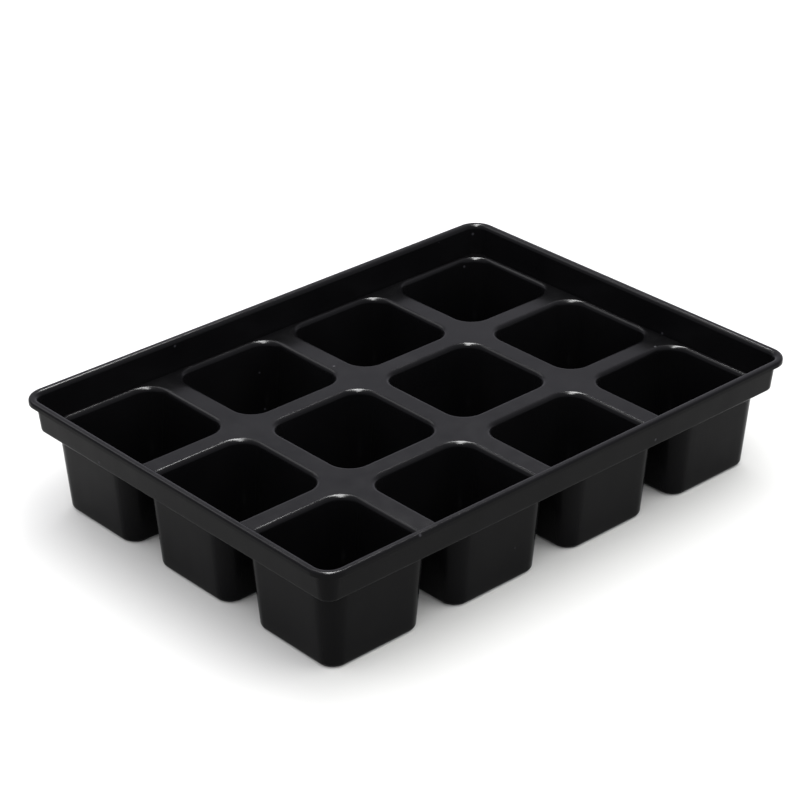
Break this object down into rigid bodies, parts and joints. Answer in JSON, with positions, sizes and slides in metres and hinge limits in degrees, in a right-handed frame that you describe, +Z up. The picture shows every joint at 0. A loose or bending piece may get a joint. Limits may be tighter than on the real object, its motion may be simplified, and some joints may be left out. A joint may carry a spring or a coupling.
{
  "type": "seed tray insert",
  "caption": "Thin black vacuum-formed seed tray insert: a grid of drafted square cells under a flat deck, with a low side wall and a rolled rim.",
  "frame": {"origin": "middle of the footprint, on the plane that the cell floors rest on", "axes": "+X along the long side (four cells), +Y along the short side (three cells), +Z up, out of the cells' mouths"},
  "size_m": [0.1788, 0.132, 0.0356],
  "materials": {
    "black_sheet": "satin"
  },
  "bodies": {
    "root": {"rim_bead": "black_sheet", "side_wall": "black_sheet", "deck": "black_sheet", "cell_a1": "black_sheet", "cell_a2": "black_sheet", "cell_a3": "black_sheet", "cell_b1": "black_sheet", "cell_b2": "black_sheet", "cell_b3": "black_sheet", "cell_c1": "black_sheet", "cell_c2": "black_sheet", "cell_c3": "black_sheet", "cell_d1": "black_sheet", "cell_d2": "black_sheet", "cell_d3": "black_sheet"}
  },
  "joints": []
}
